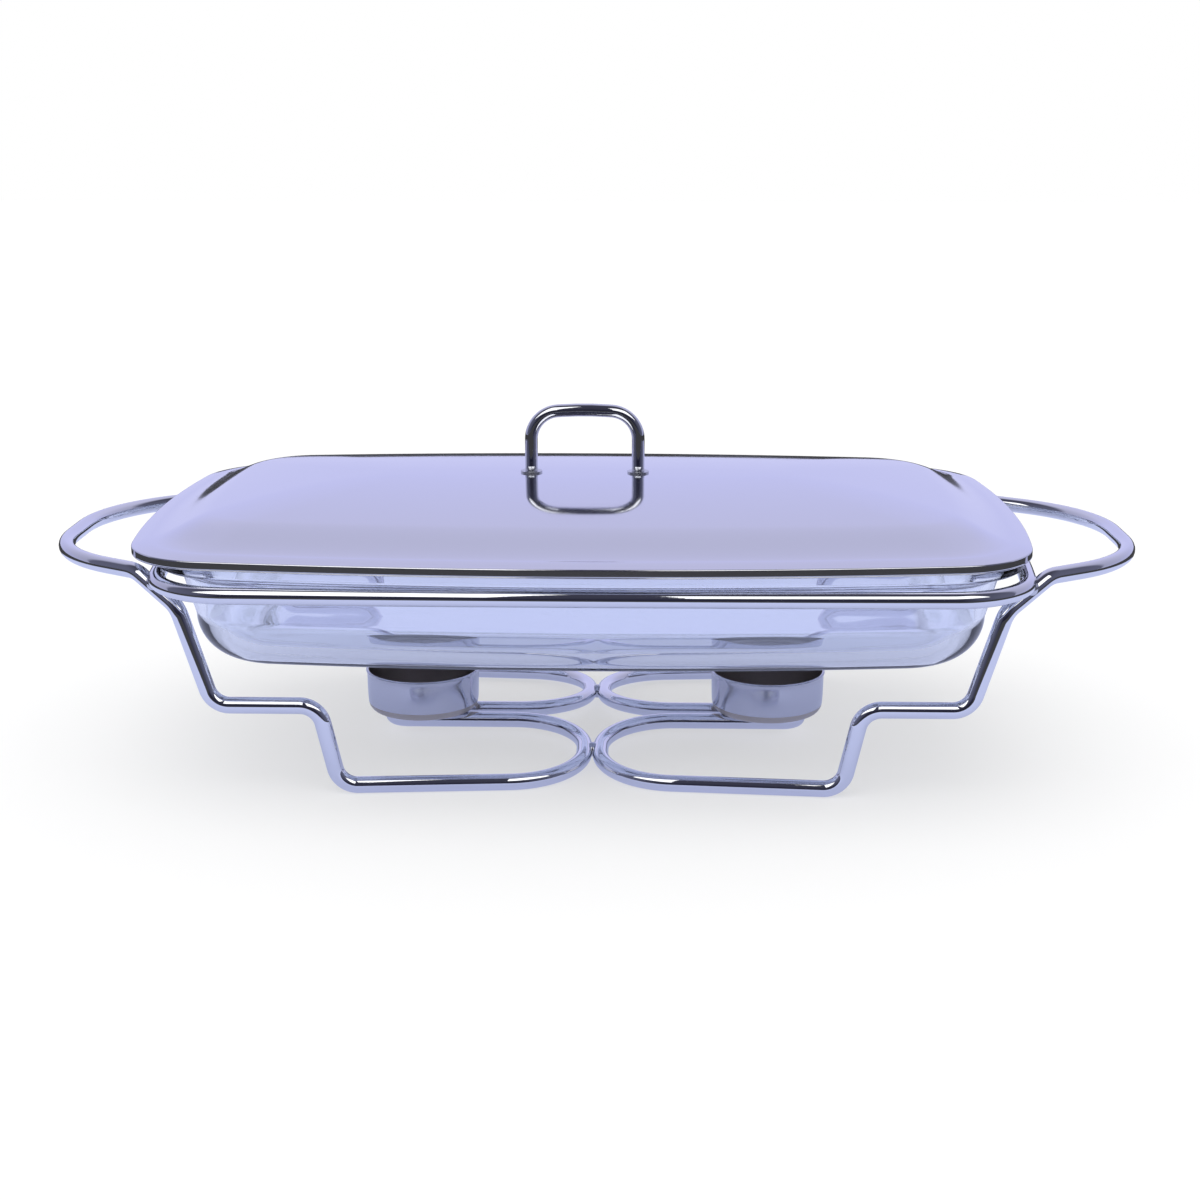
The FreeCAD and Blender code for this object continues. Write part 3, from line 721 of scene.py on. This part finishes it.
def world():
    """White to the camera and to the floor, a lavender studio with a dark front to metal and glass."""
    made = bpy.data.worlds.new("studio")
    bpy.context.scene.world = made
    made.use_nodes = True
    tree = made.node_tree
    background = tree.nodes["Background"]
    rays = tree.nodes.new("ShaderNodeLightPath")
    place = tree.nodes.new("ShaderNodeTexCoord")
    along = tree.nodes.new("ShaderNodeSeparateXYZ")
    tree.links.new(place.outputs["Generated"], along.inputs["Vector"])
    angle = tree.nodes.new("ShaderNodeMath")
    angle.operation = "ARCTAN2"
    tree.links.new(along.outputs["Z"], angle.inputs[0])
    tree.links.new(along.outputs["Y"], angle.inputs[1])
    share = ramp(tree, angle.outputs[0], 0.0, 1.0, -math.pi, math.pi)
    studio = tree.nodes.new("ShaderNodeValToRGB")
    stops = studio.color_ramp.elements
    while len(stops) < len(STUDIO):
        stops.new(0.5)
    for stop, (degrees, _) in zip(stops, STUDIO):
        stop.position = (degrees + 180) / 360
    for stop, (_, colour) in zip(stops, STUDIO):
        stop.color = (*colour, 1)
    tree.links.new(share, studio.inputs["Fac"])
    sideways = tree.nodes.new("ShaderNodeMath")
    sideways.operation = "ABSOLUTE"
    tree.links.new(along.outputs["X"], sideways.inputs[0])
    dimmed = ramp(tree, sideways.outputs[0], 0.0, SIDE_SHARE, SIDE_START, 1.0)
    seen_by_metal = mix_colour(tree, dimmed, studio.outputs["Color"], SIDE_IN_METAL)
    seen_by_glass = mix_colour(tree, SKY_SHARE_IN_GLASS, studio.outputs["Color"], SKY_IN_GLASS)
    plain = (SKY_FOR_FLOOR, SKY_FOR_FLOOR, SKY_FOR_FLOOR)
    with_metal = mix_colour(tree, rays.outputs["Is Glossy Ray"], plain, seen_by_metal)
    with_glass = mix_colour(tree, rays.outputs["Is Transmission Ray"], with_metal, seen_by_glass)
    with_camera = mix_colour(tree, rays.outputs["Is Camera Ray"], with_glass, (1.0, 1.0, 1.0))
    tree.links.new(with_camera, background.inputs["Color"])


def sun(direction, power, spread):
    light = bpy.data.lights.new("sun", "SUN")
    light.energy = power
    light.angle = math.radians(spread)
    lamp = bpy.data.objects.new("sun", light)
    bpy.context.collection.objects.link(lamp)
    lamp.rotation_euler = Vector(direction).to_track_quat("-Z", "Y").to_euler()
    lamp.visible_glossy = False


def card(name, azimuths, elevations):
    """A white card for metal to mirror, by the directions of its edges from the dish."""
    material = bpy.data.materials.new(name)
    material.use_nodes = True
    tree = material.node_tree
    tree.nodes.remove(tree.nodes["Principled BSDF"])
    glow = tree.nodes.new("ShaderNodeEmission")
    glow.inputs["Strength"].default_value = CARD_POWER
    tree.links.new(glow.outputs["Emission"], tree.nodes["Material Output"].inputs["Surface"])
    corners = []
    for azimuth, elevation in ((azimuths[0], elevations[0]), (azimuths[1], elevations[0]),
                               (azimuths[1], elevations[1]), (azimuths[0], elevations[1])):
        a = math.radians(azimuth)
        e = math.radians(elevation)
        corners.append((CARD_DISTANCE * math.sin(a) * math.cos(e), -CARD_DISTANCE * math.cos(a) * math.cos(e),
                        CARD_CENTRE_Z + CARD_DISTANCE * math.sin(e)))
    plane = stage_plane(name, corners, material)
    plane.visible_camera = False
    plane.visible_diffuse = False
    plane.visible_transmission = False
    plane.visible_shadow = False


world()
sun(SUN_DIRECTION, SUN_POWER, SUN_SPREAD)
for card_name, (azimuths, elevations) in CARDS.items():
    card(card_name, azimuths, elevations)


def camera():
    data = bpy.data.cameras.new("camera")
    data.lens = CAMERA_LENS
    data.sensor_width = 36.0
    data.shift_x, data.shift_y = CAMERA_SHIFT
    view = bpy.data.objects.new("camera", data)
    bpy.context.collection.objects.link(view)
    view.location = CAMERA_AT
    view.rotation_euler = (math.radians(CAMERA_PITCH), 0, math.radians(CAMERA_YAW))
    bpy.context.scene.camera = view


camera()
bpy.context.scene.view_settings.view_transform = "Standard"
